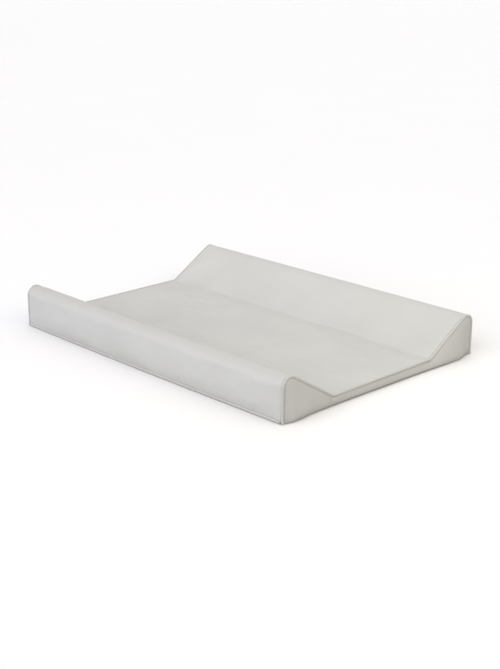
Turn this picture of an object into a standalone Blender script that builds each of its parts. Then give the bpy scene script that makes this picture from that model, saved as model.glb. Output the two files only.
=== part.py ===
"""A baby's changing pad with a stiff base and two raised sides.

Frame: +X runs along the raised sides, +Y from the front side to the back side, +Z up.
The origin is the centre of the underside, so the pad stands on z = 0.  Metres.

Inside a sewn cover of coated fabric lie a hardboard base and three foam blocks: a flat one for
the seat and a wedge for each raised side.  The cover is one long sheet that runs over both
wedges and the seat, a shaped panel at each end with corded piping around it, and a base sheet
with a bound hem.  The hem shows under the long walls; at the ends the panel hides it.
"""

import math

import bmesh
import bpy

# Driving dimensions
LENGTH = 0.700
WIDTH = 0.500
HEIGHT = 0.080
SEAT_HEIGHT = 0.020
SIDE_WIDTH = 0.122          # one raised side, from its outer wall to the valley at the seat
CREST_RADIUS = 0.019
VALLEY_RADIUS = 0.006

# Materials' thicknesses and the space between touching pieces
GAP = 0.0003
SHEET = 0.0010              # coated fabric
BOARD = 0.0042              # hardboard
PROUD = 0.0008              # how far the piping and the hem stand out from the cover
PIPING_RADIUS = 0.0025
PIPING_WALL = 0.0007
END_PANEL_DEPTH = 0.0015    # how far each end panel lies behind its piping
HEM_HEIGHT = 0.0055
HEM_DEPTH = 0.0018
HEM_CORNER = 0.0060
HEM_END_INSET = 0.0065      # how far the hem lies in from each end, behind the end panel
END_FOOT = 0.0010           # where the end panels and their piping stop above the ground
BOARD_CORNER = 0.0080
FOAM_CHAMFER = 0.0042       # foam cut back around the piping's inner side

# Resolution of the round stretches
CREST_STEPS = 14
VALLEY_STEPS = 5
CORNER_STEPS = 6
TUBE_SIDES = 12

# Heights and faces that follow from them
WALL_FOOT = HEM_HEIGHT + GAP
BOARD_UNDERSIDE = SHEET + GAP
FOAM_UNDERSIDE = BOARD_UNDERSIDE + BOARD + GAP
SKIN_INSET = PROUD
FOAM_INSET = SKIN_INSET + SHEET + GAP
PANEL_INSET = 2 * PIPING_RADIUS + GAP
PIPING_X = LENGTH / 2 - PIPING_RADIUS
SHEET_END_X = LENGTH / 2 - 2 * PIPING_RADIUS - GAP
PANEL_OUTER_X = LENGTH / 2 - END_PANEL_DEPTH
FOAM_END_X = PANEL_OUTER_X - SHEET - GAP

# The front crest's centre, and the slope that leaves it and runs down to the valley
CREST_Y = -WIDTH / 2 + CREST_RADIUS
CREST_Z = HEIGHT - CREST_RADIUS
VALLEY_Y = -WIDTH / 2 + SIDE_WIDTH
_across = VALLEY_Y - CREST_Y
_down = SEAT_HEIGHT - CREST_Z
SLOPE_NORMAL = math.atan2(_down, _across) + math.acos(CREST_RADIUS / math.hypot(_across, _down))


def arc(centre, radius, start, end, steps):
    """Points on an arc in the Y-Z plane, from the angle start to the angle end."""
    angles = [start + (end - start) * i / steps for i in range(steps + 1)]
    return [(centre[0] + radius * math.cos(a), centre[1] + radius * math.sin(a)) for a in angles]


def fillet_centre():
    """The centre of the valley's fillet: its radius above the seat and in front of the slope."""
    z = SEAT_HEIGHT + VALLEY_RADIUS
    reach = CREST_RADIUS + VALLEY_RADIUS - (z - CREST_Z) * math.sin(SLOPE_NORMAL)
    return CREST_Y + reach / math.cos(SLOPE_NORMAL), z


def crest(inset):
    """The front crest from the wall to the slope, this far inside the pad's outline."""
    return arc((CREST_Y, CREST_Z), CREST_RADIUS - inset, math.pi, SLOPE_NORMAL, CREST_STEPS)


def half_outline(inset, foot):
    """The pad's outline from the front wall's foot to the seat, this far inside the true one."""
    wall = [(-WIDTH / 2 + inset, foot)]
    valley = arc(
        fillet_centre(), VALLEY_RADIUS + inset, SLOPE_NORMAL + math.pi, 1.5 * math.pi, VALLEY_STEPS
    )
    return wall + crest(inset) + valley


def outline(inset, foot):
    """The whole outline, from the front wall's foot over both raised sides to the back one's."""
    front = half_outline(inset, foot)
    return front + [(-y, z) for y, z in reversed(front)]


def mirrored(points):
    """A front section as the back one, in the same turning direction."""
    return [(-y, z) for y, z in reversed(points)]


def at_x(points, x):
    return [(x, y, z) for y, z in points]


def rounded_rectangle(half_x, half_y, radius, z):
    """A rectangle with round corners, anticlockwise from above."""
    loop = []
    for turn, (sx, sy) in enumerate([(1, 1), (-1, 1), (-1, -1), (1, -1)]):
        corner = (sx * (half_x - radius), sy * (half_y - radius))
        start = turn * math.pi / 2
        for x, y in arc(corner, radius, start, start + math.pi / 2, CORNER_STEPS):
            loop.append((x, y, z))
    return loop


def base_rectangle(inset, radius, z):
    """The hem's outline round the base, this far inside it."""
    return rounded_rectangle(LENGTH / 2 - HEM_END_INSET - inset, WIDTH / 2 - inset, radius, z)


def material(name, colour, roughness):
    made = bpy.data.materials.new(name)
    made.use_nodes = True
    shader = made.node_tree.nodes["Principled BSDF"]
    shader.inputs["Base Color"].default_value = (*colour, 1.0)
    shader.inputs["Roughness"].default_value = roughness
    shader.inputs["Metallic"].default_value = 0.0
    return made


def add_object(name, mesh_builder, finish):
    """Turns a finished bmesh into a named object with its material and smooth round stretches."""
    bmesh.ops.recalc_face_normals(mesh_builder, faces=mesh_builder.faces)
    mesh = bpy.data.meshes.new(name)
    mesh_builder.to_mesh(mesh)
    mesh_builder.free()
    mesh.materials.append(finish)
    mesh.shade_smooth()
    mesh.set_sharp_from_angle(angle=math.radians(35))
    made = bpy.data.objects.new(name, mesh)
    bpy.context.scene.collection.objects.link(made)
    return made


def skin_between(builder, first, second):
    """Quads between two closed loops of vertices that match one to one."""
    for i in range(len(first)):
        after = (i + 1) % len(first)
        builder.faces.new([first[i], first[after], second[after], second[i]])


def loft(name, loops, finish):
    """A closed solid through matching loops, with a flat cap on the first and the last."""
    builder = bmesh.new()
    rings = [[builder.verts.new(point) for point in loop] for loop in loops]
    for first, second in zip(rings, rings[1:]):
        skin_between(builder, first, second)
    builder.faces.new(rings[0])
    builder.faces.new(rings[-1])
    return add_object(name, builder, finish)


def path_normals(path):
    """At each point of an open path in the Y-Z plane, the unit vector across it, to its left."""
    normals = []
    for i in range(len(path)):
        before = path[max(i - 1, 0)]
        after = path[min(i + 1, len(path) - 1)]
        dy, dz = after[0] - before[0], after[1] - before[1]
        span = math.hypot(dy, dz)
        normals.append((-dz / span, dy / span))
    return normals


def tube_ring(point, normal, x, radius):
    """One round section of a tube whose path lies in the plane at x."""
    ring = []
    for side in range(TUBE_SIDES):
        angle = 2 * math.pi * side / TUBE_SIDES
        out, along_x = radius * math.cos(angle), radius * math.sin(angle)
        ring.append((x + along_x, point[0] + out * normal[0], point[1] + out * normal[1]))
    return ring


def piping_path():
    return outline(PIPING_RADIUS, END_FOOT)


def piping_cord(name, x, finish):
    """The cord that fills the piping, with its ends cut flush."""
    path = piping_path()
    radius = PIPING_RADIUS - PIPING_WALL - GAP
    rings = [tube_ring(p, n, x, radius) for p, n in zip(path, path_normals(path))]
    return loft(name, rings, finish)


def piping_sleeve(name, x, finish):
    """The strip of cover fabric wrapped round the cord: a tube that is open at both ends."""
    path = piping_path()
    builder = bmesh.new()
    walls = []
    for radius in (PIPING_RADIUS, PIPING_RADIUS - PIPING_WALL):
        rings = [
            [builder.verts.new(v) for v in tube_ring(p, n, x, radius)]
            for p, n in zip(path, path_normals(path))
        ]
        for first, second in zip(rings, rings[1:]):
            skin_between(builder, first, second)
        walls.append(rings)
    outer, inner = walls
    skin_between(builder, outer[0], inner[0])
    skin_between(builder, outer[-1], inner[-1])
    return add_object(name, builder, finish)


def top_sheet(finish):
    """The long sheet over both raised sides and the seat, down to the hem on each side."""
    outer = outline(SKIN_INSET, WALL_FOOT)
    inner = outline(SKIN_INSET + SHEET, WALL_FOOT)
    section = outer + inner[::-1]
    loops = [at_x(section, x) for x in (-SHEET_END_X, SHEET_END_X)]
    return loft("cover_top_sheet", loops, finish)


def end_panel(name, side, finish):
    """The shaped panel that closes one end, inside the loop of its piping."""
    section = outline(PANEL_INSET, END_FOOT)
    inner_x = side * (PANEL_OUTER_X - SHEET)
    return loft(name, [at_x(section, inner_x), at_x(section, side * PANEL_OUTER_X)], finish)


def foam_block(name, section_at, finish):
    """A foam block along the pad, chamfered at both ends where the piping passes."""
    full_x = FOAM_END_X - FOAM_CHAMFER
    cut = FOAM_INSET + FOAM_CHAMFER
    stations = [(-FOAM_END_X, cut), (-full_x, FOAM_INSET), (full_x, FOAM_INSET), (FOAM_END_X, cut)]
    return loft(name, [at_x(section_at(inset), x) for x, inset in stations], finish)


def bolster_section(inset):
    """A wedge with a round crest, cut off upright at the valley."""
    top = crest(inset)
    slope_angle = SLOPE_NORMAL - math.pi / 2
    run = VALLEY_Y - GAP / 2 - top[-1][0]
    valley = (VALLEY_Y - GAP / 2, top[-1][1] + run * math.tan(slope_angle))
    foot = [(VALLEY_Y - GAP / 2, FOAM_UNDERSIDE), (-WIDTH / 2 + inset, FOAM_UNDERSIDE)]
    return top + [valley] + foot


def seat_section(inset):
    """The flat foam between the two wedges."""
    edge = VALLEY_Y + GAP / 2
    top = SEAT_HEIGHT - inset
    return [(edge, FOAM_UNDERSIDE), (edge, top), (-edge, top), (-edge, FOAM_UNDERSIDE)]


def hem_binding(finish):
    """The folded tape round the base sheet, which the long walls are sewn to."""
    builder = bmesh.new()
    rings = []
    for inset, z in ((0, GAP), (0, HEM_HEIGHT), (HEM_DEPTH, HEM_HEIGHT), (HEM_DEPTH, GAP)):
        loop = base_rectangle(inset, HEM_CORNER - inset, z)
        rings.append([builder.verts.new(point) for point in loop])
    for i, ring in enumerate(rings):
        skin_between(builder, ring, rings[(i + 1) % len(rings)])
    made = add_object("base_hem_binding", builder, finish)
    rounding = made.modifiers.new("rounded fold", "BEVEL")
    rounding.width = 0.0008
    rounding.segments = 2
    rounding.limit_method = "ANGLE"
    rounding.angle_limit = math.radians(60)
    return made


def plate(name, inset, corner, low, high, finish):
    """A flat sheet with round corners, this far inside the hem's outline."""
    return loft(name, [base_rectangle(inset, corner, z) for z in (low, high)], finish)


def build():
    for old in list(bpy.data.objects):
        bpy.data.objects.remove(old, do_unlink=True)

    cover = material("coated_fabric", (0.66, 0.66, 0.63), 0.45)
    base_cloth = material("base_fabric", (0.62, 0.62, 0.60), 0.70)
    cord = material("piping_cord", (0.80, 0.79, 0.75), 0.80)
    foam = material("foam", (0.86, 0.82, 0.66), 0.90)
    hardboard = material("hardboard", (0.30, 0.18, 0.10), 0.75)

    top_sheet(cover)
    for name, side in (("left", -1), ("right", 1)):
        end_panel(f"{name}_end_panel", side, cover)
        piping_sleeve(f"{name}_piping_sleeve", side * PIPING_X, cover)
        piping_cord(f"{name}_piping_cord", side * PIPING_X, cord)
    hem_binding(cover)

    hem_inside = HEM_DEPTH + GAP
    plate("cover_base_sheet", hem_inside, HEM_CORNER - hem_inside, 0, SHEET, base_cloth)
    board_top = BOARD_UNDERSIDE + BOARD
    plate("base_board", hem_inside + GAP, BOARD_CORNER, BOARD_UNDERSIDE, board_top, hardboard)

    foam_block("front_bolster_foam", bolster_section, foam)
    foam_block("back_bolster_foam", lambda inset: mirrored(bolster_section(inset)), foam)
    foam_block("seat_foam", seat_section, foam)


build()
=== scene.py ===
import math

import bpy
import numpy as np
from mathutils import Matrix, Vector


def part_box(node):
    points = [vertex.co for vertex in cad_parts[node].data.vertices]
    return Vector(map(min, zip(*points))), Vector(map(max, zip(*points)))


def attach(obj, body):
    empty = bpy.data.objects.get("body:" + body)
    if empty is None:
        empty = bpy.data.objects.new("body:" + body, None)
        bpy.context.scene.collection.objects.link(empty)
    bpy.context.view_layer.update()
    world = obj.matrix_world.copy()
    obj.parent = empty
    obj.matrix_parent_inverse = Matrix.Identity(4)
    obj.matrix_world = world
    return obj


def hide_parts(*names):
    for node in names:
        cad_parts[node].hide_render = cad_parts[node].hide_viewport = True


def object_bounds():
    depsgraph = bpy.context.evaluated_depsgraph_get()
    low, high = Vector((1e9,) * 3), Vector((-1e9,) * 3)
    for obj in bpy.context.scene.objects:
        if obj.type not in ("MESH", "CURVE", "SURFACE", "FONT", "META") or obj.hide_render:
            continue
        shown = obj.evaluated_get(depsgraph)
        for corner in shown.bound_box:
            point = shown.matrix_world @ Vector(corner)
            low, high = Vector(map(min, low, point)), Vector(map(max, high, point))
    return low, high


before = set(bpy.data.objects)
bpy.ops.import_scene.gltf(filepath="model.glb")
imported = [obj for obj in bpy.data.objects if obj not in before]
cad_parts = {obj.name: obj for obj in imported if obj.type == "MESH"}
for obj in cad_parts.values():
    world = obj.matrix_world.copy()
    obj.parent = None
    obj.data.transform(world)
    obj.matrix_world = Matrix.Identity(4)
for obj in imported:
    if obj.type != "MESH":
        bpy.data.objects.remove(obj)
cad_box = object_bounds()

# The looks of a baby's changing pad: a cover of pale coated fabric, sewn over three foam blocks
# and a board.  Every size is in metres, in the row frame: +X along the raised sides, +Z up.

HALF_LENGTH = cad_box[1].x
HALF_WIDTH = cad_box[1].y
HEIGHT = cad_box[1].z

# The cover's make-up, as the CAD has it
SKIN_INSET = 0.0008
SHEET = 0.0010
GAP = 0.0003
FOAM_INSET = SKIN_INSET + SHEET + GAP
BEAD_RADIUS = 0.0025  # the whole piping's, cord and sleeve
SLEEVE_WALL = 0.0007  # from there in to the sleeve's inner face
CREST_RADIUS = 0.019
SEAT_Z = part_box("seat_foam")[1].z + FOAM_INSET
VALLEY_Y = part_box("seat_foam")[0].y
HEM_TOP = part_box("base_hem_binding")[1].z
WALL_FOOT = HEM_TOP + GAP
BEAD_X = HALF_LENGTH - BEAD_RADIUS
SHEET_END_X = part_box("cover_top_sheet")[1].x
PANEL_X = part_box("right_end_panel")[1].x
END_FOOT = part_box("right_end_panel")[0].z
HEM_HALF_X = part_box("base_hem_binding")[1].x

# The outline's resolution before the sheets are refined: steps along each of its stretches
WALL_STEPS = 8
CREST_STEPS = 9
SLOPE_STEPS = 15
VALLEY_STEPS = 5
SEAT_STEPS = 16

CREST_CENTRE = np.array([-HALF_WIDTH + CREST_RADIUS, HEIGHT - CREST_RADIUS])
CREST_TO_VALLEY = np.array([VALLEY_Y, SEAT_Z]) - CREST_CENTRE
# The direction in which the slope faces: it leaves the crest's arc as a tangent to the valley
SLOPE_NORMAL = math.atan2(CREST_TO_VALLEY[1], CREST_TO_VALLEY[0]) + math.acos(
    CREST_RADIUS / math.hypot(*CREST_TO_VALLEY)
)


# ---------------------------------------------------------------- shapes of the outline


def arc(centre, radius, start, end, steps):
    angles = np.linspace(start, end, steps + 1)
    return np.stack([centre[0] + radius * np.cos(angles), centre[1] + radius * np.sin(angles)], 1)


def line(start, end, steps):
    t = np.linspace(0, 1, steps + 1)[:, None]
    return np.asarray(start) * (1 - t) + np.asarray(end) * t


def half_outline(inset, valley_radius, foot):
    """The front half of the pad's outline in the Y-Z plane, from the wall's foot to mid-seat."""
    crest = arc(CREST_CENTRE, CREST_RADIUS - inset, math.pi, SLOPE_NORMAL, CREST_STEPS)
    centre_z = SEAT_Z + valley_radius
    reach = CREST_RADIUS + valley_radius - (centre_z - CREST_CENTRE[1]) * math.sin(SLOPE_NORMAL)
    centre = (CREST_CENTRE[0] + reach / math.cos(SLOPE_NORMAL), centre_z)
    valley = arc(
        centre, valley_radius + inset, SLOPE_NORMAL + math.pi, 1.5 * math.pi, VALLEY_STEPS
    )
    wall = line((-HALF_WIDTH + inset, foot), crest[0], WALL_STEPS)
    slope = line(crest[-1], valley[0], SLOPE_STEPS)
    seat = line(valley[-1], (0, SEAT_Z - inset), SEAT_STEPS)
    return np.concatenate([wall, crest[1:], slope[1:], valley[1:], seat[1:]])


def outline(inset, valley_radius, foot):
    """The whole outline, from the front wall's foot to the back wall's."""
    front = half_outline(inset, valley_radius, foot)
    back = front[-2::-1] * (-1, 1)
    return np.concatenate([front, back])


HALF_POINTS = WALL_STEPS + CREST_STEPS + SLOPE_STEPS + VALLEY_STEPS + SEAT_STEPS


def stretch(first, steps):
    """How far along one stretch of the outline each of its points is, from 0 to 1, else NaN."""
    along = np.full(HALF_POINTS + 1, np.nan)
    along[first : first + steps + 1] = np.linspace(0, 1, steps + 1)
    return np.concatenate([along, along[-2::-1]])


def hump(along):
    """A smooth rise and fall over a stretch, and 0 elsewhere."""
    return np.where(np.isnan(along), 0, np.sin(np.pi * np.nan_to_num(along)) ** 2)


def smooth(value, low, high):
    """0 below low, 1 above high, and an even passage between them."""
    t = np.clip((value - low) / (high - low), 0, 1)
    return t * t * (3 - 2 * t)


def waves(u, v, length, seed, count=9):
    """Soft unevenness, about -1 to 1, from a few long waves in seeded directions."""
    rng = np.random.default_rng(seed)
    total = np.zeros(np.broadcast(u, v).shape)
    for _ in range(count):
        turn, phase = rng.uniform(0, 2 * np.pi, 2)
        pitch = 2 * np.pi / (length * rng.uniform(0.6, 1.6))
        total += np.sin(pitch * (u * np.cos(turn) + v * np.sin(turn)) + phase)
    return total / math.sqrt(count)


def lengths_along(points):
    """The distance along a line of points from its first point to each of them."""
    return np.concatenate([[0], np.cumsum(np.linalg.norm(np.diff(points, axis=0), axis=1))])


# ---------------------------------------------------------------- grids and meshes

SHARP_ANGLE = math.radians(50)
CLOTH_FRAMES = 20


def grid_normals(grid):
    across = np.gradient(grid, axis=0)
    along = np.gradient(grid, axis=1)
    normal = np.cross(across, along)
    return normal / np.maximum(np.linalg.norm(normal, axis=2, keepdims=True), 1e-12)


def refine_axis(grid, axis):
    """Twice as fine along one axis, on a cubic curve through the points there are."""
    rows = np.moveaxis(grid, axis, 0)
    ends = np.concatenate([2 * rows[:1] - rows[1:2], rows, 2 * rows[-1:] - rows[-2:-1]])
    between = (9 * (ends[1:-2] + ends[2:-1]) - ends[:-3] - ends[3:]) / 16
    fine = np.empty((2 * len(rows) - 1,) + rows.shape[1:])
    fine[0::2], fine[1::2] = rows, between
    return np.moveaxis(fine, 0, axis)


def refine(grid):
    return refine_axis(refine_axis(grid, 0), 1)


def mesh_object(name, points, faces, material, attributes=None):
    mesh = bpy.data.meshes.new(name)
    mesh.from_pydata(np.asarray(points).tolist(), [], faces)
    mesh.validate()
    mesh.materials.append(material)
    for key, values in (attributes or {}).items():
        layer = mesh.attributes.new(key, "FLOAT", "POINT")
        layer.data.foreach_set("value", np.asarray(values, np.float32).ravel())
    mesh.shade_smooth()
    mesh.set_sharp_from_angle(angle=SHARP_ANGLE)
    made = bpy.data.objects.new(name, mesh)
    bpy.context.scene.collection.objects.link(made)
    return made


def grid_faces(rows, columns, offset=0, flipped=False):
    faces = []
    for i in range(rows - 1):
        for j in range(columns - 1):
            a = offset + i * columns + j
            quad = (a, a + 1, a + columns + 1, a + columns)
            faces.append(quad[::-1] if flipped else quad)
    return faces


def rim_indices(rows, columns):
    top = [(0, j) for j in range(columns - 1)]
    right = [(i, columns - 1) for i in range(rows - 1)]
    bottom = [(rows - 1, j) for j in range(columns - 1, 0, -1)]
    left = [(i, 0) for i in range(rows - 1, 0, -1)]
    return [i * columns + j for i, j in top + right + bottom + left]


def sheet_object(name, outer, thickness, material, attributes):
    """A closed sheet: the outer grid, the same grid one thickness behind it, and a rim."""
    rows, columns = outer.shape[:2]
    inner = outer - grid_normals(outer) * thickness
    points = np.concatenate([outer.reshape(-1, 3), inner.reshape(-1, 3)])
    count = rows * columns
    faces = grid_faces(rows, columns) + grid_faces(rows, columns, count, True)
    rim = rim_indices(rows, columns)
    for a, b in zip(rim, rim[1:] + rim[:1]):
        faces.append((b, a, a + count, b + count))
    doubled = {key: np.tile(np.asarray(v).ravel(), 2) for key, v in attributes.items()}
    return mesh_object(name, points, faces, material, doubled)


def ring_object(name, rings, closed_path, material, attributes=None):
    """A solid through rings of points: a closed loop of them, or one with flat ends."""
    count, sides = rings.shape[:2]
    faces = []
    for i in range(count if closed_path else count - 1):
        a, b = i * sides, (i + 1) % count * sides
        for j in range(sides):
            k = (j + 1) % sides
            faces.append((a + j, a + k, b + k, b + j))
    if not closed_path:
        faces.append(tuple(range(sides))[::-1])
        faces.append(tuple((count - 1) * sides + j for j in range(sides)))
    return mesh_object(name, rings.reshape(-1, 3), faces, material, attributes)


def puffed(grid, hold, pressure, cap):
    """The grid as cloth that air lifts a little.  hold is 1 where it is sewn down, 0 where it is
    free.  No point moves further than cap, and none sinks into what the cloth lies on."""
    rows, columns = grid.shape[:2]
    mesh = bpy.data.meshes.new("cloth")
    mesh.from_pydata(grid.reshape(-1, 3).tolist(), [], grid_faces(rows, columns))
    cloth = bpy.data.objects.new("cloth", mesh)
    bpy.context.scene.collection.objects.link(cloth)
    group = cloth.vertex_groups.new(name="hold")
    for i, weight in enumerate(np.round(hold.ravel(), 3)):
        if weight > 0:
            group.add([i], float(weight), "REPLACE")
    modifier = cloth.modifiers.new("cloth", "CLOTH")
    settings = modifier.settings
    settings.quality = 6
    settings.mass = 0.3
    settings.tension_stiffness = 25
    settings.compression_stiffness = 25
    settings.shear_stiffness = 10
    settings.bending_stiffness = 2
    settings.air_damping = 2
    settings.use_pressure = True
    settings.uniform_pressure_force = pressure
    settings.vertex_group_mass = "hold"
    settings.pin_stiffness = 1
    settings.effector_weights.gravity = 0
    modifier.collision_settings.use_collision = False
    scene = bpy.context.scene
    for step in range(1, CLOTH_FRAMES + 1):
        scene.frame_set(step)
    evaluated = cloth.evaluated_get(bpy.context.evaluated_depsgraph_get())
    moved = np.empty(rows * columns * 3)
    evaluated.data.vertices.foreach_get("co", moved)
    moved = moved.reshape(rows, columns, 3)
    bpy.data.objects.remove(cloth, do_unlink=True)
    scene.frame_set(1)
    shift = moved - grid
    normal = grid_normals(grid)
    sunk = np.minimum(np.sum(shift * normal, axis=2, keepdims=True), 0)
    shift = shift - sunk * normal
    size = np.linalg.norm(shift, axis=2, keepdims=True)
    limited = cap * np.tanh(size / cap)
    print(f"cloth moved {size.max() * 1000:.2f} mm at most, {size.mean() * 1000:.2f} on average")
    return grid + shift * limited / np.maximum(size, 1e-9)


# ---------------------------------------------------------------- materials

MIDDLE_RANGE = (0.3, 0.7)
THREAD_WOBBLE = 0.6


class Shader:
    """A Principled material under construction, with short calls for its nodes.  The features of
    noise and cells are about 1 / scale metres wide, and bands repeat every 0.314 / scale metres."""

    def __init__(self, name, colour, roughness, **constants):
        self.material = bpy.data.materials.new(name)
        self.material.use_nodes = True
        self.nodes = self.material.node_tree.nodes
        self.links = self.material.node_tree.links
        self.principled = self.nodes["Principled BSDF"]
        self.principled.inputs["Base Color"].default_value = (*colour, 1)
        self.principled.inputs["Roughness"].default_value = roughness
        for key, value in constants.items():
            self.principled.inputs[key.replace("_", " ")].default_value = value
        self.place = self.nodes.new("ShaderNodeTexCoord").outputs["Object"]
        self.height = None

    def scaled(self, factors):
        node = self.nodes.new("ShaderNodeVectorMath")
        node.operation = "MULTIPLY"
        self.links.new(self.place, node.inputs[0])
        node.inputs[1].default_value = factors
        return node.outputs[0]

    def noise(self, scale, detail=3, factors=(1, 1, 1), distortion=0):
        node = self.nodes.new("ShaderNodeTexNoise")
        node.inputs["Scale"].default_value = scale
        node.inputs["Detail"].default_value = detail
        node.inputs["Distortion"].default_value = distortion
        self.links.new(self.scaled(factors), node.inputs["Vector"])
        return node.outputs["Fac"]

    def cells(self, scale, feature="DISTANCE_TO_EDGE"):
        node = self.nodes.new("ShaderNodeTexVoronoi")
        node.feature = feature
        node.inputs["Scale"].default_value = scale
        self.links.new(self.place, node.inputs["Vector"])
        return node.outputs["Distance"]

    def bands(self, scale, direction):
        node = self.nodes.new("ShaderNodeTexWave")
        node.bands_direction = direction
        node.inputs["Scale"].default_value = scale
        node.inputs["Distortion"].default_value = THREAD_WOBBLE
        self.links.new(self.place, node.inputs["Vector"])
        return node.outputs["Fac"]

    def attribute(self, name):
        node = self.nodes.new("ShaderNodeAttribute")
        node.attribute_name = name
        return node.outputs["Fac"]

    def math(self, operation, a, b):
        node = self.nodes.new("ShaderNodeMath")
        node.operation = operation
        for socket, value in zip(node.inputs, (a, b)):
            if isinstance(value, (int, float)):
                socket.default_value = value
            else:
                self.links.new(value, socket)
        return node.outputs[0]

    def between(self, factor, low, high):
        """The middle of the factor's range spread over low to high."""
        node = self.nodes.new("ShaderNodeMapRange")
        self.links.new(factor, node.inputs["Value"])
        node.inputs["From Min"].default_value = MIDDLE_RANGE[0]
        node.inputs["From Max"].default_value = MIDDLE_RANGE[1]
        node.inputs["To Min"].default_value = low
        node.inputs["To Max"].default_value = high
        return node.outputs[0]

    def mix(self, factor, a, b):
        node = self.nodes.new("ShaderNodeMix")
        node.data_type = "RGBA"
        self.links.new(factor, node.inputs[0])
        for socket, value in ((node.inputs[6], a), (node.inputs[7], b)):
            if isinstance(value, tuple):
                socket.default_value = (*value, 1)
            else:
                self.links.new(value, socket)
        return node.outputs[2]

    def colour(self, socket):
        self.links.new(socket, self.principled.inputs["Base Color"])

    def roughness(self, socket):
        self.links.new(socket, self.principled.inputs["Roughness"])

    def bump(self, height, strength, distance):
        """Adds relief on top of what relief there already is."""
        node = self.nodes.new("ShaderNodeBump")
        node.inputs["Strength"].default_value = strength
        node.inputs["Distance"].default_value = distance
        self.links.new(height, node.inputs["Height"])
        if self.height is not None:
            self.links.new(self.height, node.inputs["Normal"])
        self.height = node.outputs["Normal"]
        self.links.new(self.height, self.principled.inputs["Normal"])


def shaded(colour, factor):
    return tuple(channel * factor for channel in colour)


COVER = (0.560, 0.562, 0.540)
# The colour that the cover is darkened towards where shade is painted
PAINTED_SHADE_TONE = (0.36, 0.35, 0.32)
PALE_FIBRE = (0.46, 0.31, 0.18)


def coated_fabric(name, colour):
    """Vinyl-coated cloth: satin, with a pressed grain over the weave that it was coated on."""
    s = Shader(name, colour, 0.46, Sheen_Weight=0.06, Sheen_Roughness=0.5, Specular_IOR_Level=0.42)
    cloudy = s.mix(s.between(s.noise(9, 2), 0, 1), shaded(colour, 0.955), shaded(colour, 1.035))
    mottled = s.mix(s.between(s.noise(260, 3), 0, 0.5), cloudy, shaded(colour, 0.95))
    # Lighter where the cloth is worn and where highlights are painted, then darker towards the shade
    # colour where shade is painted
    wear_and_highlight = s.mix(s.attribute("wear_and_highlight"), mottled, shaded(colour, 1.06))
    s.colour(s.mix(s.attribute("painted_shade"), wear_and_highlight, PAINTED_SHADE_TONE))
    s.roughness(s.between(s.noise(30, 3), 0.40, 0.52))
    s.bump(s.noise(90, 2, factors=(1, 0.5, 1)), 0.15, 0.0006)
    across = s.math("ADD", s.bands(260, "Y"), s.bands(260, "Z"))
    weave = s.math("ADD", s.bands(260, "X"), across)
    s.bump(weave, 0.10, 0.00012)
    s.bump(s.cells(1100), 0.16, 0.00012)
    return s.material


def base_fabric(name, colour):
    """Close-woven cloth with a matt face."""
    s = Shader(name, colour, 0.85, Sheen_Weight=0.15, Sheen_Roughness=0.6)
    cloudy = s.mix(s.between(s.noise(9, 3), 0, 1), shaded(colour, 0.92), shaded(colour, 1.05))
    threads = s.math("MULTIPLY", s.bands(170, "X"), s.bands(170, "Y"))
    s.colour(s.mix(s.math("MULTIPLY", threads, 0.35), cloudy, shaded(colour, 0.74)))
    s.roughness(s.between(s.noise(60, 2), 0.78, 0.92))
    s.bump(s.noise(40, 3), 0.2, 0.0006)
    s.bump(threads, 0.35, 0.0003)
    return s.material


def foam_material(name, colour):
    """Open-cell foam: pores of about a millimetre."""
    s = Shader(name, colour, 0.95, Sheen_Weight=0.1)
    pores = s.cells(900, "F1")
    tinted = s.mix(s.between(s.noise(14, 3), 0, 1), shaded(colour, 0.93), shaded(colour, 1.03))
    s.colour(s.mix(s.between(pores, 0.0, 0.6), tinted, shaded(colour, 0.72)))
    s.bump(s.noise(120, 4), 0.3, 0.0008)
    s.bump(pores, 0.6, 0.0006)
    return s.material


def hardboard_material(name, colour):
    """Pressed wood fibre, with short pale fibres along the sheet."""
    s = Shader(name, colour, 0.7)
    fibres = s.noise(420, 4, factors=(0.25, 1, 1), distortion=0.6)
    cloudy = s.mix(s.between(s.noise(11, 3), 0, 1), shaded(colour, 0.85), shaded(colour, 1.15))
    s.colour(s.mix(s.between(fibres, 0, 0.7), cloudy, PALE_FIBRE))
    s.roughness(s.between(s.noise(50, 3), 0.6, 0.82))
    s.bump(fibres, 0.35, 0.0003)
    return s.material


def cord_material(name, colour):
    """Twisted undyed fibre."""
    s = Shader(name, colour, 0.9, Sheen_Weight=0.2)
    fibres = s.noise(900, 3, factors=(1, 0.4, 0.4))
    s.colour(s.mix(s.between(fibres, 0, 1), shaded(colour, 0.85), shaded(colour, 1.08)))
    s.bump(fibres, 0.4, 0.0002)
    return s.material


def thread_material(name, colour):
    """Sewing thread of a few strands."""
    s = Shader(name, colour, 0.6, Sheen_Weight=0.2)
    strands = s.noise(2600, 2)
    s.colour(s.mix(s.between(strands, 0, 1), shaded(colour, 0.9), shaded(colour, 1.1)))
    s.bump(strands, 0.3, 0.0001)
    return s.material


cover_finish = coated_fabric("coated_fabric_look", COVER)
base_finish = base_fabric("base_fabric_look", (0.50, 0.50, 0.485))
foam_finish = foam_material("foam_look", (0.80, 0.75, 0.58))
board_finish = hardboard_material("hardboard_look", (0.24, 0.13, 0.07))
cord_finish = cord_material("piping_cord_look", (0.74, 0.72, 0.66))
thread_finish = thread_material("thread_look", (0.60, 0.60, 0.58))


# ---------------------------------------------------------------- cover

# The radius of the valley's fold at the piping, and what is added in the middle and near an end
END_VALLEY_RADIUS = 0.004
MID_VALLEY_EXTRA = 0.005
VALLEY_SPREAD = 0.030

# How far the long walls' feet stand out, and how far the end panels' feet sag out: at mid-width,
# for each metre towards the back, and in a fuller place near the front corner
WALL_BOW = 0.0030
END_SAG = 0.0072
END_SAG_RISE = 0.020
CORNER_SAG = 0.0050
CORNER_SAG_Y = -0.220
CORNER_SAG_WIDTH = 0.030

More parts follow.
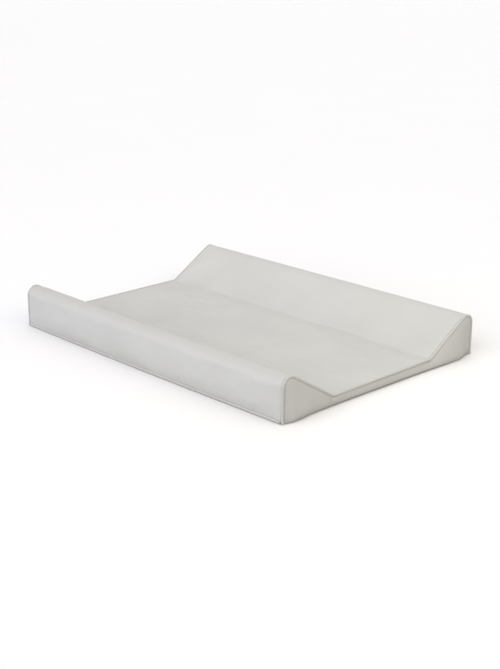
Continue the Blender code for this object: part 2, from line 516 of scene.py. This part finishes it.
# The walls' belly: its depth, the outline's length from the foot that it takes up, the part of
# that on the crest, and what brings the peak of v (1 - v)^2 to 1
BELLY = 0.0036
BELLY_TOP = 0.079
CREST_GIRTH = 0.038
BELLY_PEAK = 6.75

SLOPE_BULGE = 0.0020
SEAT_BULGE = 0.0014

# The cloth's air pressure, and how far it may lift a point
COVER_PRESSURE, COVER_CAP = 2.0, 0.0022
PANEL_PRESSURE, PANEL_CAP = 3.0, 0.0016

# Distances from the end of the top sheet to its closest stations, and where the even ones begin
NEAR_END = (0, 0.0015, 0.003, 0.005, 0.0075, 0.0105, 0.014, 0.018, 0.0225, 0.0275, 0.033)
EVEN_FROM = 0.0395
EVEN_STATIONS = 80

VALLEY_FIRST = HALF_POINTS - SEAT_STEPS - VALLEY_STEPS
SEAT_FIRST = HALF_POINTS - SEAT_STEPS
WALL_SHARE = stretch(0, WALL_STEPS)
CREST_SHARE = stretch(WALL_STEPS, CREST_STEPS)
SLOPE_SHARE = stretch(WALL_STEPS + CREST_STEPS, SLOPE_STEPS)


def valley_radius_at(x):
    """The valley is a neat fold for most of its length, spreads out near each end, where the
    cover bridges it, and is pulled in again by the piping."""
    off_end = SHEET_END_X - abs(x)
    near_end = float(smooth(off_end, 0.0, 0.045) * (1 - smooth(off_end, 0.055, 0.150)))
    off_piping = float(smooth(off_end, 0.0, 0.030))
    return END_VALLEY_RADIUS + MID_VALLEY_EXTRA * off_piping + VALLEY_SPREAD * near_end


def side_bow(x):
    """How far the foot of a long wall stands out, most at mid-length."""
    return WALL_BOW * np.clip(1 - (x / HALF_LENGTH) ** 2, 0, 1)


def end_bow(y):
    """How far the foot of an end panel sags out.  It is uneven, as loose cloth is."""
    fuller = CORNER_SAG * np.exp(-(((y - CORNER_SAG_Y) / CORNER_SAG_WIDTH) ** 2))
    slack = END_SAG + END_SAG_RISE * y + fuller
    return slack * smooth(HALF_WIDTH - y, 0.002, 0.050) * smooth(HALF_WIDTH + y, 0.002, 0.022)


def stations():
    """Places along the pad: close together near the ends, further apart in the middle."""
    start = [-SHEET_END_X + d for d in NEAR_END]
    middle = np.linspace(-SHEET_END_X + EVEN_FROM, SHEET_END_X - EVEN_FROM, EVEN_STATIONS)
    return np.array(start + middle.tolist() + [-x for x in reversed(start)])


def from_hem(columns):
    """The number of each of the outline's points, counted from the nearer hem."""
    index = np.arange(columns)
    return np.minimum(index, columns - 1 - index)


def top_sheet():
    """The cover's long sheet, from hem to hem over both sides and the seat, and its girth."""
    xs = stations()
    grid = np.array(
        [
            [(x, y, z) for y, z in outline(SKIN_INSET, valley_radius_at(x), WALL_FOOT)]
            for x in xs
        ]
    )
    index = from_hem(grid.shape[1])
    off_end = SHEET_END_X - np.abs(xs)[:, None]

    # The bulges of the slopes and the seat, then the walls' belly and bow
    inside = smooth(off_end, 0, 0.07)
    seat = np.abs(grid[:, :, 1]) / abs(VALLEY_Y)
    on_seat = (index >= SEAT_FIRST)[None, :]
    bulge = SLOPE_BULGE * hump(SLOPE_SHARE)[None, :]
    bulge = bulge + SEAT_BULGE * np.where(on_seat, 1 - np.clip(seat, 0, 1) ** 2, 0)
    grid = grid + grid_normals(grid) * (bulge * inside)[:, :, None]
    up_wall = np.nan_to_num(WALL_SHARE, nan=1.0)[None, :]
    height = up_wall * (CREST_CENTRE[1] - WALL_FOOT)
    height = height + np.nan_to_num(CREST_SHARE, nan=0.0)[None, :] * CREST_GIRTH
    higher = np.isnan(WALL_SHARE) & np.isnan(CREST_SHARE)
    height = np.where(higher[None, :], BELLY_TOP, height)
    v = np.clip(height / BELLY_TOP, 0, 1)
    belly = BELLY * BELLY_PEAK * v * (1 - v) ** 2 * inside
    bow = side_bow(grid[:, :, 0]) * (1 - up_wall) ** 2
    grid[:, :, 1] += np.sign(grid[:, :, 1]) * (belly + bow)

    # Held at its edges, along the valleys and, less firmly, over the crests
    tacked = ((index >= VALLEY_FIRST) & (index <= SEAT_FIRST))[None, :]
    hold = np.where(tacked, 0.8 * smooth(off_end, 0.05, 0.15), 0)
    hold = np.maximum(hold, 0.7 * hump(CREST_SHARE)[None, :])
    hold[[0, -1], :] = 1
    hold[:, [0, -1]] = 1
    grid = puffed(grid, hold, COVER_PRESSURE, COVER_CAP)
    fine = refine(grid)

    # Distances along the outline, from the nearer end and from the nearer hem
    fine_x = fine[:, :, 0]
    rows, columns = fine.shape[:2]
    t = lengths_along(fine[rows // 2])[None, :]
    edge = SHEET_END_X - np.abs(fine_x)
    foot = np.minimum(t, t[:, -1:] - t)
    index = from_hem(columns)[None, :] / 2
    seam = smooth(edge, 0, 0.004)
    free = smooth(edge, 0, 0.03) * smooth(foot, 0, 0.02)

    # Relief along the normals: soft unevenness, puckers at the piping, a fan of creases round each
    # valley's end, the fold under the piping and the gathers over the hem
    soft = 0.00070 * waves(fine_x, t, 0.12, 3) + 0.00026 * waves(fine_x, t * 1.6, 0.045, 5)
    crest_mid = WALL_STEPS + 0.55 * CREST_STEPS
    on_crest = smooth(1 - np.abs(index - crest_mid) / (0.7 * CREST_STEPS), 0, 1)
    soft = np.maximum(soft + 0.0004, -0.0002) * (1 - 0.8 * on_crest)
    puckers = 0.00016 * waves(fine_x * 0.1, t, 0.011, 7, 5) * np.exp(-edge / 0.010)
    corner_t = t[0, 2 * VALLEY_FIRST + VALLEY_STEPS]
    fan = 0
    for centre in (corner_t, t[0, -1] - corner_t):
        angle = np.arctan2(t - centre, edge + 0.004)
        reach = np.hypot(t - centre, edge)
        ripple = np.sin(angle * 9 + 0.8 * waves(fine_x, t, 0.05, 11))
        fan = fan + 0.00030 * ripple * smooth(reach, 0.004, 0.02) * np.exp(-reach / 0.030)
    fold = -0.0006 * (1 - seam)
    gathers = 0.00060 * waves(fine_x, t * 0.3, 0.016, 47, 6) * np.exp(-foot / 0.009)
    lift = soft * free + (puckers + fan + gathers * smooth(foot, 0, 0.003)) * seam + fold
    fine = fine + grid_normals(fine) * lift[:, :, None]

    # A little wear on the crests and a painted highlight along the ends' fold; painted shade in the
    # valleys, above the hem and over the crests
    wear_and_highlight = 0.05 * on_crest * (1 + waves(fine_x, t, 0.03, 13)) + 0.4 * np.exp(-edge / 0.002)
    valley_mid = VALLEY_FIRST + VALLEY_STEPS / 2
    in_valley = np.clip(1 - np.abs(index - valley_mid) / 2.5, 0, 1) * smooth(edge, 0.03, 0.15)
    painted_shade = 0.08 * in_valley + 0.30 * np.exp(-foot / 0.0020) + 0.07 * np.exp(-foot / 0.008)
    painted_shade = painted_shade + 0.17 * on_crest
    made = sheet_object(
        "cover_top",
        fine,
        SHEET,
        cover_finish,
        {"wear_and_highlight": np.clip(wear_and_highlight, 0, 1), "painted_shade": np.clip(painted_shade, 0, 1)},
    )
    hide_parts("cover_top_sheet")
    return made, float(t[0, -1])


# How far an end panel reaches out over the gap and under its piping, and the heights of its rows
# above its foot: the close ones, and where the even ones begin
PANEL_TUCK = 0.0006
PANEL_LOW_ROWS = (0, 0.0010, 0.0025, 0.0050)
PANEL_UPPER = 0.0080
PANEL_UPPER_ROWS = 9


def end_panel(name, node, side):
    """The panel that closes one end: upright columns of points from its foot to the piping."""
    inset = 2 * BEAD_RADIUS + GAP - PANEL_TUCK
    top = outline(inset, END_VALLEY_RADIUS, END_FOOT)[WALL_STEPS:-WALL_STEPS]
    low_rows = END_FOOT + np.array(PANEL_LOW_ROWS)
    upper = END_FOOT + PANEL_UPPER
    share = np.linspace(0, 1, PANEL_UPPER_ROWS)[None, :]
    heights = np.concatenate(
        [np.tile(low_rows, (len(top), 1)), upper + (top[:, 1:2] - upper) * share], axis=1
    )
    grid = np.empty(heights.shape + (3,))
    grid[:, :, 1] = top[:, :1]
    grid[:, :, 2] = heights
    grid[:, :, 0] = PANEL_X
    hold = np.zeros(grid.shape[:2])
    hold[[0, -1], :] = 1
    hold[:, [0, -1]] = 1
    if side < 0:
        grid[:, :, 0] *= -1
        grid = grid[::-1]
    grid = puffed(grid, hold, PANEL_PRESSURE, PANEL_CAP)
    fine = refine(grid)
    y, z = fine[:, :, 1], fine[:, :, 2]

    # The crown that the panel has inside its rim
    rim_top = refine_axis(top, 0)
    if side < 0:
        rim_top = rim_top[::-1]
    rim_y, rim_z = rim_top[None, None, :, 0], rim_top[None, None, :, 1]
    gap_to_top = np.min(np.hypot(y[:, :, None] - rim_y, z[:, :, None] - rim_z), axis=2)
    gap_to_side = HALF_WIDTH - inset - np.abs(y)
    rim = np.minimum(gap_to_top, gap_to_side)
    above = z - END_FOOT
    crown = 0.0006 * (1 - np.exp(-rim / 0.0008)) + 0.0008 * (1 - np.exp(-rim / 0.007))
    crown = crown * smooth(above, 0, 0.014)

    # The foot curls under and sags out, and the cloth is pinched at each valley's end
    off_corner = smooth(HALF_WIDTH - np.abs(y), 0.003, 0.030)
    curl = -0.0030 * np.clip(1 - above / 0.008, 0, 1) ** 2 * off_corner
    share_up = above / above[:, -1:]
    undercut = 0.0022 + 0.0014 * (1 - smooth(np.abs(y), 0.10, 0.18))
    sag = end_bow(y) * smooth((above + 0.0006) / undercut, 0, 1) * (1 - share_up)
    fine[:, :, 2] -= 0.0006 * (1 - smooth(above, 0, 0.003))
    pinch = 0
    for centre in (VALLEY_Y, -VALLEY_Y):
        across, down = y - centre, SEAT_Z - 0.006 - z
        ridge = np.exp(-((across - 0.25 * down) / 0.0030) ** 2 - ((down - 0.003) / 0.0050) ** 2)
        dimple = np.exp(-((across + 0.006) / 0.0040) ** 2 - ((down - 0.002) / 0.0060) ** 2)
        pinch = pinch + 0.0023 * ridge - 0.0012 * dimple
    soft = 0.00025 * waves(y, z, 0.05, 17) * smooth(rim, 0, 0.01) * smooth(above, 0, 0.012)
    puckers = 0.00012 * waves(y, z, 0.008, 19, 5) * np.exp(-rim / 0.006)
    upright = 1 - smooth(gap_to_side, 0, 0.004)
    tuck = -0.0010 * upright * (1 - smooth(rim, 0, 0.0035))
    fine[:, :, 0] += side * (crown + sag + curl + pinch + soft + puckers + tuck)
    # Painted shade at the foot and the rim, and over the middle of the panel
    painted_shade = 0.15 * np.exp(-above / 0.002) + 0.10 * np.exp(-rim / 0.002)
    painted_shade = painted_shade + 0.24 * np.exp(-above / 0.010)
    painted_shade = painted_shade + 0.03 + 0.14 * (1 - smooth(np.abs(y), 0.11, 0.16))
    made = sheet_object(
        name, fine, SHEET, cover_finish, {"wear_and_highlight": np.zeros_like(y), "painted_shade": np.clip(painted_shade, 0, 1)}
    )
    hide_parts(node)
    return made


SLEEVE_SIDES = 16
CORD_SIDES = 12
CORD_RADIUS = 0.00132
CORD_STRANDS = 3
CORD_LAY = 0.012  # the length of one full twist
CORD_STEP = 0.0016


def path_frames(path):
    """At each point of an open line in the Y-Z plane, the unit vector across it, to its left."""
    along = np.gradient(path, axis=0)
    along /= np.linalg.norm(along, axis=1, keepdims=True)
    return np.stack([-along[:, 1], along[:, 0]], 1)


def tube_rings(path, x, radius, sides, squeeze=1.0):
    """Rings round a line in the plane at x.  radius is an array with one row for each ring."""
    normal = path_frames(path)
    angles = np.linspace(0, 2 * np.pi, sides, endpoint=False)
    out = radius * np.cos(angles)
    side = radius * squeeze * np.sin(angles)
    rings = np.empty((len(path), sides, 3))
    rings[:, :, 0] = x + side
    rings[:, :, 1] = path[:, None, 0] + out * normal[:, None, 0]
    rings[:, :, 2] = path[:, None, 1] + out * normal[:, None, 1]
    return rings


def eased_out(rings, side):
    """The rings with the piping's two lowest stretches eased out, as the panel's foot is."""
    low = np.clip(1 - rings[:, :, 2] / 0.014, 0, 1) ** 2
    rings[:, :, 0] += side * 0.0010 * low
    rings[:, :, 1] -= np.sign(rings[:, :, 1]) * 0.0004 * low
    return rings


def piping(side, label):
    """The strip of cover round the cord, and the cord inside it."""
    path = refine_axis(outline(BEAD_RADIUS, END_VALLEY_RADIUS, END_FOOT), 0)
    length = lengths_along(path)
    around = np.linspace(0, 2 * np.pi, SLEEVE_SIDES, endpoint=False)[None, :]
    uneven = 1 + 0.018 * waves(length[:, None], around * 0.002, 0.012, 23 + side, 6)
    outer_radius = (BEAD_RADIUS - 0.00005) * uneven
    inner_radius = np.full((len(path), 1), BEAD_RADIUS - SLEEVE_WALL)
    outer = tube_rings(path, side * BEAD_X, outer_radius, SLEEVE_SIDES, 0.97)
    inner = tube_rings(path, side * BEAD_X, inner_radius, SLEEVE_SIDES)
    rings = eased_out(np.concatenate([outer, inner[::-1]]), side)
    # The piping is lightened a little all over, and darkened a little all over as painted shade
    sleeve = ring_object(
        f"{label}_piping",
        rings,
        True,
        cover_finish,
        {"wear_and_highlight": np.full(rings.shape[:2], 0.1), "painted_shade": np.full(rings.shape[:2], 0.10)},
    )
    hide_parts(f"{label}_piping_sleeve")

    even = np.linspace(0, length[-1], int(length[-1] / CORD_STEP))
    even_path = np.stack([np.interp(even, length, path[:, axis]) for axis in (0, 1)], 1)
    angles = np.linspace(0, 2 * np.pi, CORD_SIDES, endpoint=False)[None, :]
    strands = 1 + 0.10 * np.cos(CORD_STRANDS * (angles - even[:, None] * 2 * np.pi / CORD_LAY))
    radius = CORD_RADIUS * strands
    rings = eased_out(tube_rings(even_path, side * BEAD_X, radius, CORD_SIDES), side)
    cord = ring_object(f"{label}_cord", rings, False, cord_finish)
    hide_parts(f"{label}_piping_cord")
    return sleeve, cord


HEM_CORNER = 0.003
HEM_ARC_POINTS = 9
HEM_STEP = 0.006

# The hem's section, as distances out from its line and heights.  Shade is painted on it up to one
# height, and it turns from plain to a painted highlight over the passage up to its lip.
HEM_SECTION = (
    (0.0002, 0.0003), (0.0006, 0.0010), (0.0008, 0.0020), (0.0009, 0.0030),
    (0.0010, 0.0034), (0.0014, 0.0036), (0.0016, 0.0044), (0.0014, 0.0051),
    (0.0006, 0.0055), (-0.0006, 0.0056), (-0.0014, 0.0055), (-0.0018, 0.0050),
    (-0.0018, 0.0010), (-0.0015, 0.0004),
)
HEM_SHADE_TO = 0.0036
HEM_SHADE_STRENGTH = 0.60
HEM_LIP = (0.0034, 0.0040)

STITCH_OUT = 0.0013
STITCH_HEIGHT = 0.0046
STITCH_PITCH = 0.0042
SHORTEST_STITCH = 0.0030
STITCH_SIDES = 6
# The rings of a stitch: the share of its pitch, how far out, and the radius
STITCH_RINGS = (
    (0.08, -0.0002, 0.00012),
    (0.3, 0.0002, 0.00026),
    (0.7, 0.0002, 0.00026),
    (0.92, -0.0002, 0.00012),
)

# The corners of a rectangle anticlockwise, as the signs of X and Y
CORNERS = ((1, 1), (-1, 1), (-1, -1), (1, -1))


def rounded_rectangle(half_x, half_y, radius, arc_points, pieces):
    """Points and outward directions round a rectangle with round corners, anticlockwise.  pieces
    says how many parts each side along X and each side along Y is cut into."""
    reach = np.array([half_x - radius, half_y - radius])
    points, normals = [], []
    for turn, corner in enumerate(CORNERS):
        for angle in np.linspace(turn * np.pi / 2, (turn + 1) * np.pi / 2, arc_points):
            normals.append(np.array([math.cos(angle), math.sin(angle)]))
            points.append(corner * reach + radius * normals[-1])
        begin = points[-1]
        target = CORNERS[(turn + 1) % 4] * reach + radius * normals[-1]
        count = pieces[turn % 2]
        for k in range(1, count):
            points.append(begin + (target - begin) * k / count)
            normals.append(normals[-1])
    return np.array(points), np.array(normals)


def hem_line(out, step):
    """The hem's line round the foot, taken out by out, with a point about every step of its sides."""
    half_x, half_y, radius = HEM_HALF_X + out, HALF_WIDTH + out, HEM_CORNER + out
    pieces = [int(2 * (half - radius) / step) for half in (half_x, half_y)]
    return rounded_rectangle(half_x, half_y, radius, HEM_ARC_POINTS, pieces)


def hem_bow(x, y):
    """The hem's own share of the long walls' bow, none at the ends."""
    near_wall = smooth(np.abs(y), 0.225, 0.245)
    return np.sign(y) * side_bow(x) * near_wall


def hem_binding():
    """A folded tape round the foot: a plump lip painted lighter as a highlight, over a lower edge
    painted darker as shade.
    """
    points, normals = hem_line(0, HEM_STEP)
    section = np.array(HEM_SECTION)
    along = lengths_along(points)
    wavy = 0.00012 * waves(along, 0 * along, 0.02, 29) + 0.00010 * waves(along, 0 * along, 0.09, 31)
    rings = np.empty((len(points), len(section), 3))
    out = section[None, :, 0] + wavy[:, None]
    rings[:, :, :2] = points[:, None, :] + normals[:, None, :] * out[:, :, None]
    rings[:, :, 1] += hem_bow(rings[:, :, 0], rings[:, :, 1])
    rings[:, :, 2] = section[None, :, 1]
    # Painted shade on the lower edge, and a painted highlight on the lip
    hem_shade = smooth(HEM_SHADE_TO - section[:, 1], 0, 0.0003) * HEM_SHADE_STRENGTH
    wear_and_highlight = smooth(section[:, 1], *HEM_LIP)
    repeats = (len(points), 1)
    looks = {"wear_and_highlight": np.tile(wear_and_highlight, repeats), "painted_shade": np.tile(hem_shade, repeats)}
    made = ring_object("hem_binding", rings, True, cover_finish, looks)
    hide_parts("base_hem_binding")
    return made


def hem_stitching():
    """Short thread stitches along the hem's lip."""
    points, normals = hem_line(STITCH_OUT, STITCH_PITCH)
    verts, faces = [], []
    sides = STITCH_SIDES
    following = np.roll(points, -1, axis=0)
    for start, end, normal in zip(points, following, normals):
        span = end - start
        if np.linalg.norm(span) < SHORTEST_STITCH:
            continue
        base = len(verts)
        for share, out, radius in STITCH_RINGS:
            centre = start + span * share + normal * out
            for k in range(sides):
                angle = 2 * math.pi * k / sides
                ring = centre + normal * radius * math.cos(angle)
                y = ring[1] + float(hem_bow(ring[0], ring[1]))
                verts.append((ring[0], y, STITCH_HEIGHT + radius * math.sin(angle)))
        last = len(STITCH_RINGS) - 1
        for r in range(last):
            for k in range(sides):
                a, b = base + r * sides + k, base + r * sides + (k + 1) % sides
                faces.append((a, b, b + sides, a + sides))
        faces.append(tuple(base + k for k in range(sides))[::-1])
        faces.append(tuple(base + last * sides + k for k in range(sides)))
    return mesh_object("hem_stitches", verts, faces, thread_finish)


# How far in from the base cloth's edge its loops of points lie, and how each of them is cut
BASE_INSETS = (
    0, 0.0015, 0.004, 0.008, 0.014, 0.022, 0.034, 0.05, 0.07, 0.095, 0.12, 0.15, 0.18, 0.21, 0.24
)
BASE_CORNER = 0.0039
BASE_ARC_POINTS = 5
BASE_PIECES = (90, 64)
BASE_THICKNESS = 0.00065
BASE_LIFT_CAP = 0.00045


def base_sheet():
    """The cloth under the board, drawn tight, with small puckers where the hem takes it in."""
    low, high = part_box("cover_base_sheet")
    levels = []
    for inset in BASE_INSETS:
        radius = max(BASE_CORNER - inset, 0.0002)
        half_x, half_y = high.x - inset, high.y - inset
        levels.append(rounded_rectangle(half_x, half_y, radius, BASE_ARC_POINTS, BASE_PIECES)[0])
    loops = np.array(levels)
    count, sides = loops.shape[:2]
    x, y = loops[:, :, 0], loops[:, :, 1]
    edge = np.array(BASE_INSETS)[:, None]
    lift = 0.00016 * (1 + waves(x, y, 0.10, 37)) * smooth(edge, 0, 0.03)
    lift += 0.00010 * (1 + waves(x, y, 0.009, 41, 6)) * np.exp(-edge / 0.006)
    lift = np.clip(lift, 0, BASE_LIFT_CAP)
    bottom = np.stack([x, y, low.z + lift], 2).reshape(-1, 3)
    top = np.stack([x, y, low.z + lift + BASE_THICKNESS], 2).reshape(-1, 3)
    points = np.concatenate([bottom, top])
    total = count * sides
    faces = []
    for i in range(count - 1):
        for j in range(sides):
            k = (j + 1) % sides
            quad = (i * sides + j, (i + 1) * sides + j, (i + 1) * sides + k, i * sides + k)
            faces.append(quad)
            faces.append(tuple(total + v for v in quad[::-1]))
    for j in range(sides):
        k = (j + 1) % sides
        faces.append((j, k, total + k, total + j))
    last = (count - 1) * sides
    faces.append(tuple(last + j for j in range(sides))[::-1])
    faces.append(tuple(total + last + j for j in range(sides)))
    made = mesh_object("base_cloth", points, faces, base_finish)
    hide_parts("cover_base_sheet")
    return made


FOAM_VOXEL = 0.006
FOAM_EASE = 0.0005
FOAM_DENT = 0.00025


def foam_piece(name, node):
    """The CAD block as cut foam: its edges eased, its faces a little uneven, never larger."""
    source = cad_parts[node]
    made = bpy.data.objects.new(name, source.data.copy())
    bpy.context.scene.collection.objects.link(made)
    low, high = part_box(node)
    remesh = made.modifiers.new("remesh", "REMESH")
    remesh.mode = "VOXEL"
    remesh.voxel_size = FOAM_VOXEL
    soften = made.modifiers.new("soften", "SMOOTH")
    soften.factor = 0.5
    soften.iterations = 3
    evaluated = made.evaluated_get(bpy.context.evaluated_depsgraph_get())
    mesh = bpy.data.meshes.new_from_object(evaluated)
    made.modifiers.clear()
    made.data = mesh
    count = len(mesh.vertices)
    points = np.empty(count * 3)
    normals = np.empty(count * 3)
    mesh.vertices.foreach_get("co", points)
    mesh.vertex_normals.foreach_get("vector", normals)
    points, normals = points.reshape(-1, 3), normals.reshape(-1, 3)
    uneven = 1 + waves(points[:, 0], points[:, 1] + 2 * points[:, 2], 0.07, 43)
    dent = FOAM_EASE + FOAM_DENT * uneven
    points = np.clip(points - normals * dent[:, None], low, high)
    mesh.vertices.foreach_set("co", points.ravel())
    mesh.update()
    mesh.materials.clear()
    mesh.materials.append(foam_finish)
    mesh.shade_smooth()
    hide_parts(node)
    return made


# ---------------------------------------------------------------- the pad

ENDS = {"left": -1, "right": 1}

cover_top, girth = top_sheet()
panels = {
    label: end_panel(f"{label}_panel", f"{label}_end_panel", side) for label, side in ENDS.items()
}
pipings = {label: piping(side, label) for label, side in ENDS.items()}
hem = hem_binding()
stitches = hem_stitching()
base_cloth = base_sheet()
foams = [
    foam_piece("front_side_foam", "front_bolster_foam"),
    foam_piece("back_side_foam", "back_bolster_foam"),
    foam_piece("lying_foam", "seat_foam"),
]

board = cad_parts["base_board"]
board.data.materials.clear()
board.data.materials.append(board_finish)

sleeves = [sleeve for sleeve, _ in pipings.values()]
cords = [cord for _, cord in pipings.values()]
covers = [cover_top, hem, *panels.values(), *sleeves]
for piece in [*covers, *cords, stitches, base_cloth, *foams]:
    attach(piece, "root")


# ---------------------------------------------------------------- floor, light, camera


FLOOR_REACH = 30
FLOOR_BOUNCE = (0.45, 0.45, 0.45, 1)
WHITE = (1.0, 1.0, 1.0, 1)
WORLD_BOUNCE = 0.30
WORLD_SEEN = 1.0


def light(name, kind, direction, energy, colour):
    """A light that shines along the direction."""
    data = bpy.data.lights.new(name, kind)
    data.energy = energy
    data.color = colour
    made = bpy.data.objects.new(name, data)
    made.rotation_mode = "QUATERNION"
    made.rotation_quaternion = direction.to_track_quat("-Z", "Y")
    bpy.context.scene.collection.objects.link(made)
    return made


def sun_light(name, toward, angle, strength, colour):
    made = light(name, "SUN", -Vector(toward), strength, colour)
    made.data.angle = math.radians(angle)


def area_light(name, position, target, size, power, colour):
    made = light(name, "AREA", Vector(target) - Vector(position), power, colour)
    made.location = position
    made.data.shape = "RECTANGLE"
    made.data.size, made.data.size_y = size


def seen_apart(tree, bounced, seen, output):
    """Gives the camera's own rays one shader, and every other ray another."""
    rays = tree.nodes.new("ShaderNodeLightPath")
    mix = tree.nodes.new("ShaderNodeMixShader")
    tree.links.new(rays.outputs["Is Camera Ray"], mix.inputs[0])
    tree.links.new(bounced, mix.inputs[1])
    tree.links.new(seen, mix.inputs[2])
    tree.links.new(mix.outputs[0], tree.nodes[output].inputs["Surface"])


# The camera sees a nearly white floor and a white world, and both light the pad less than that
floor_finish = Shader("floor_look", (0.90, 0.90, 0.90), 0.8, Specular_IOR_Level=0.1)
floor_cloudy = floor_finish.between(floor_finish.noise(3, 2), 0, 1)
floor_finish.colour(floor_finish.mix(floor_cloudy, (0.960, 0.958, 0.964), (0.970, 0.968, 0.974)))
floor_bounce = floor_finish.nodes.new("ShaderNodeBsdfDiffuse")
floor_bounce.inputs["Color"].default_value = FLOOR_BOUNCE
seen_apart(
    floor_finish.material.node_tree,
    floor_bounce.outputs[0],
    floor_finish.principled.outputs[0],
    "Material Output",
)
floor_signs = ((-1, -1), (1, -1), (1, 1), (-1, 1))
floor_corners = [(x * FLOOR_REACH, y * FLOOR_REACH, 0) for x, y in floor_signs]
floor = mesh_object("floor", floor_corners, [(0, 1, 2, 3)], floor_finish.material)

scene = bpy.context.scene
world = bpy.data.worlds.new("studio")
world.use_nodes = True
background = world.node_tree.nodes["Background"]
background.inputs["Color"].default_value = WHITE
background.inputs["Strength"].default_value = WORLD_BOUNCE
backdrop = world.node_tree.nodes.new("ShaderNodeBackground")
backdrop.inputs["Color"].default_value = WHITE
backdrop.inputs["Strength"].default_value = WORLD_SEEN
seen_apart(world.node_tree, background.outputs[0], backdrop.outputs[0], "World Output")
scene.world = world

sun_light("left_fill", (-1.0, 0.0, 0.4), 120, 0.90, (1.0, 1.0, 1.0))
sun_light("front_key", (0.0, -1.0, 0.15), 90, 3.38, (0.984, 0.980, 1.0))
sun_light("right_fill", (1.0, 0.1, 0.3), 60, 1.06, (1.0, 0.885, 0.880))
sun_light("back_light", (0.0, 0.7, 0.7), 90, 0.95, (1.0, 1.0, 1.0))
GLOW_SIZE = (0.6, 0.6)
WARM = (1.0, 0.92, 0.505)
COOL = (0.516, 0.459, 1.0)
area_light("right_glow", (0.85, 0.0, 0.85), (0.28, 0.12, 0.02), GLOW_SIZE, 1.15, WARM)
area_light("left_glow", (-0.75, -1.15, 0.30), (-0.30, -0.25, 0.03), GLOW_SIZE, 0.80, COOL)

CAMERA_PLACE = Vector((1.616, -1.5583, 0.7677))
CAMERA_AZIMUTH = math.radians(45.705)
CAMERA_ELEVATION = math.radians(18.669)
CAMERA_ROLL = math.radians(0.35)
SENSOR_WIDTH = 36
FOCAL_LENGTH = 66.74
FARTHEST_SEEN = 200
camera_data = bpy.data.cameras.new("camera")
camera_data.sensor_width = SENSOR_WIDTH
camera_data.lens = FOCAL_LENGTH
camera_data.clip_end = FARTHEST_SEEN
camera = bpy.data.objects.new("camera", camera_data)
camera.location = CAMERA_PLACE
back = Vector(
    (
        math.sin(CAMERA_AZIMUTH) * math.cos(CAMERA_ELEVATION),
        -math.cos(CAMERA_AZIMUTH) * math.cos(CAMERA_ELEVATION),
        math.sin(CAMERA_ELEVATION),
    )
)
right = Vector((math.cos(CAMERA_AZIMUTH), math.sin(CAMERA_AZIMUTH), 0))
up = back.cross(right)
right, up = (
    math.cos(CAMERA_ROLL) * right + math.sin(CAMERA_ROLL) * up,
    -math.sin(CAMERA_ROLL) * right + math.cos(CAMERA_ROLL) * up,
)
camera.rotation_mode = "QUATERNION"
camera.rotation_quaternion = Matrix((right, up, back)).transposed().to_quaternion()
scene.collection.objects.link(camera)
scene.camera = camera
scene.view_settings.view_transform = "Standard"
